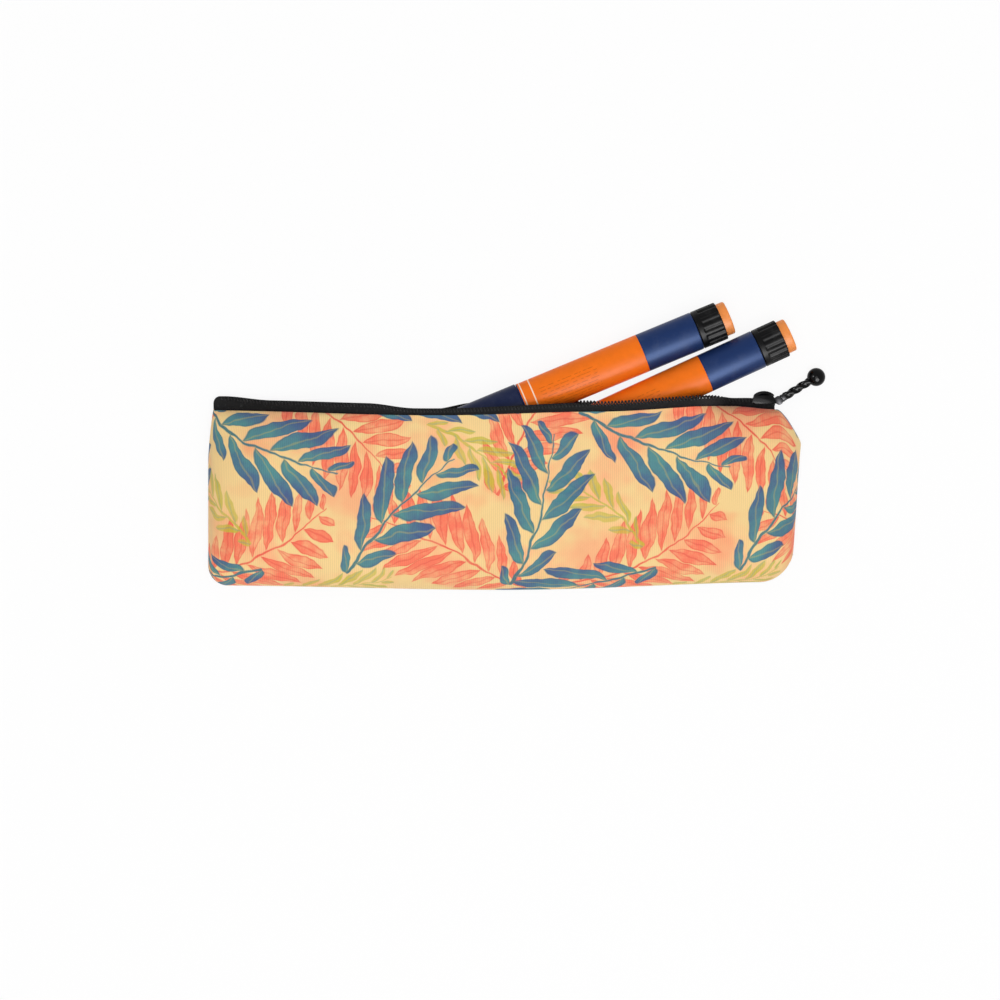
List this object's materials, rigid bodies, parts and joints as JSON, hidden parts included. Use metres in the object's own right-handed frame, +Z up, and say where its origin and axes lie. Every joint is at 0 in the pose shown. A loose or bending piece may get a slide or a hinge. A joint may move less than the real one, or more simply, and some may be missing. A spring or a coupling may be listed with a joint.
{
  "type": "insulin cooling case",
  "caption": "Soft zip pouch with evaporative gel pockets in both walls, lying open with insulin pens half drawn out; each pen has a pull-off cap, dose dial and push button.",
  "frame": {"origin": "on the flat face of the back panel, half way along the pouch and near the middle of its height", "axes": "+X along the zip towards its slider, +Y out of the mouth, +Z up through the front panel"},
  "size_m": [0.2657, 0.1237, 0.0256],
  "materials": {
    "printed_cloth": null,
    "lining_cloth": "thin woven nylon",
    "gel": "swollen gel crystals in a sewn pocket",
    "zip_tape": "woven polyester tape",
    "zip_coil": "nylon coil",
    "black_metal": "gloss black paint",
    "grey_metal": "dark nickel",
    "gloss_black": "gloss",
    "navy_plastic": "satin gloss",
    "orange_label": "coated paper label",
    "clear_plastic": "clear",
    "cartridge_glass": "clear",
    "septum_rubber": "matt",
    "crimp_aluminium": "rolled",
    "stopper_rubber": "matt",
    "grey_plastic": "moulded",
    "white_plastic": "moulded",
    "black_plastic": "fine grain",
    "orange_plastic": "satin",
    "spring_steel": "bright wire"
  },
  "bodies": {
    "pouch": {"outer_front_panel": "printed_cloth", "outer_back_panel": "printed_cloth", "lining_front": "lining_cloth", "lining_back": "lining_cloth", "gel_pocket_front_1": "gel", "gel_pocket_front_2": "gel", "gel_pocket_front_3": "gel", "gel_pocket_front_4": "gel", "gel_pocket_back_1": "gel", "gel_pocket_back_2": "gel", "gel_pocket_back_3": "gel", "gel_pocket_back_4": "gel", "zip_tape_front": "zip_tape", "zip_tape_back": "zip_tape", "zip_coil_front": "zip_coil", "zip_coil_back": "zip_coil"},
    "slider": {"zip_slider": "black_metal"},
    "pull": {"zip_pull_eye": "grey_metal", "zip_pull_bar": "gloss_black", "zip_pull_ball": "gloss_black"},
    "pen_1": {"pen_1_barrel": "navy_plastic", "pen_1_label": "orange_label", "pen_1_cartridge_holder": "clear_plastic", "pen_1_cartridge": "cartridge_glass", "pen_1_septum": "septum_rubber", "pen_1_crimp_cap": "crimp_aluminium"},
    "pen_1_cap": {"pen_1_cap": "navy_plastic"},
    "pen_1_plunger": {"pen_1_stopper": "stopper_rubber", "pen_1_piston_rod": "grey_plastic"},
    "pen_1_drive": {"pen_1_drive_sleeve": "grey_plastic"},
    "pen_1_dial": {"pen_1_dose_drum": "white_plastic", "pen_1_dose_selector": "black_plastic", "pen_1_button_spring": "spring_steel"},
    "pen_1_button": {"pen_1_dose_button": "orange_plastic"},
    "pen_2": {"pen_2_barrel": "navy_plastic", "pen_2_label": "orange_label", "pen_2_cartridge_holder": "clear_plastic", "pen_2_cartridge": "cartridge_glass", "pen_2_septum": "septum_rubber", "pen_2_crimp_cap": "crimp_aluminium"},
    "pen_2_cap": {"pen_2_cap": "navy_plastic"},
    "pen_2_plunger": {"pen_2_stopper": "stopper_rubber", "pen_2_piston_rod": "grey_plastic"},
    "pen_2_drive": {"pen_2_drive_sleeve": "grey_plastic"},
    "pen_2_dial": {"pen_2_dose_drum": "white_plastic", "pen_2_dose_selector": "black_plastic", "pen_2_button_spring": "spring_steel"},
    "pen_2_button": {"pen_2_dose_button": "orange_plastic"}
  },
  "joints": [
    {"name": "zip_slide", "type": "slide", "parent": "pouch", "child": "slider", "axis": [-1, 0, 0], "range_m": [0, 0.008]},
    {"name": "zip_pull_swing", "type": "hinge", "parent": "slider", "child": "pull", "pos_m": [0.118, 0.0428, 0.00435], "axis": [0, 0, 1], "range_deg": [-70, 12]},
    {"name": "pen_1_slide", "type": "slide", "parent": "pouch", "child": "pen_1", "axis": [0.9092, 0.4163, 0], "range_m": [0, 0.12]},
    {"name": "pen_1_cap_pull", "type": "slide", "parent": "pen_1", "child": "pen_1_cap", "axis": [-0.9236, -0.3826, 0.024], "range_m": [0, 0.04]},
    {"name": "pen_1_plunger_feed", "type": "slide", "parent": "pen_1", "child": "pen_1_plunger", "axis": [-0.9236, -0.3826, 0.024], "range_m": [0, 0.04]},
    {"name": "pen_1_dose_turn", "type": "hinge", "parent": "pen_1", "child": "pen_1_drive", "pos_m": [0.08263, 0.0728, 0.00897], "axis": [0.9236, 0.3826, -0.024], "range_deg": [0, 900]},
    {"name": "pen_1_dose_extend", "type": "slide", "parent": "pen_1_drive", "child": "pen_1_dial", "axis": [0.9236, 0.3826, -0.024], "range_m": [0, 0.014]},
    {"name": "pen_1_button_press", "type": "slide", "parent": "pen_1_dial", "child": "pen_1_button", "axis": [-0.9236, -0.3826, 0.024], "range_m": [0, 0.0015], "stiffness_N_per_m": 1500},
    {"name": "pen_2_slide", "type": "slide", "parent": "pouch", "child": "pen_2", "axis": [0.9092, 0.4163, 0], "range_m": [0, 0.12]},
    {"name": "pen_2_cap_pull", "type": "slide", "parent": "pen_2", "child": "pen_2_cap", "axis": [-0.909, -0.4162, 0.024], "range_m": [0, 0.04]},
    {"name": "pen_2_plunger_feed", "type": "slide", "parent": "pen_2", "child": "pen_2_plunger", "axis": [-0.909, -0.4162, 0.024], "range_m": [0, 0.04]},
    {"name": "pen_2_dose_turn", "type": "hinge", "parent": "pen_2", "child": "pen_2_drive", "pos_m": [0.109, 0.0649, 0.00897], "axis": [0.909, 0.4162, -0.024], "range_deg": [0, 900]},
    {"name": "pen_2_dose_extend", "type": "slide", "parent": "pen_2_drive", "child": "pen_2_dial", "axis": [0.909, 0.4162, -0.024], "range_m": [0, 0.014]},
    {"name": "pen_2_button_press", "type": "slide", "parent": "pen_2_dial", "child": "pen_2_button", "axis": [-0.909, -0.4162, 0.024], "range_m": [0, 0.0015], "stiffness_N_per_m": 1500}
  ],
  "couplings": [
    {"joint": "pen_1_dose_extend", "follows": "pen_1_dose_turn", "m_per_rad": 0.00089126},
    {"joint": "pen_2_dose_extend", "follows": "pen_2_dose_turn", "m_per_rad": 0.00089126}
  ]
}
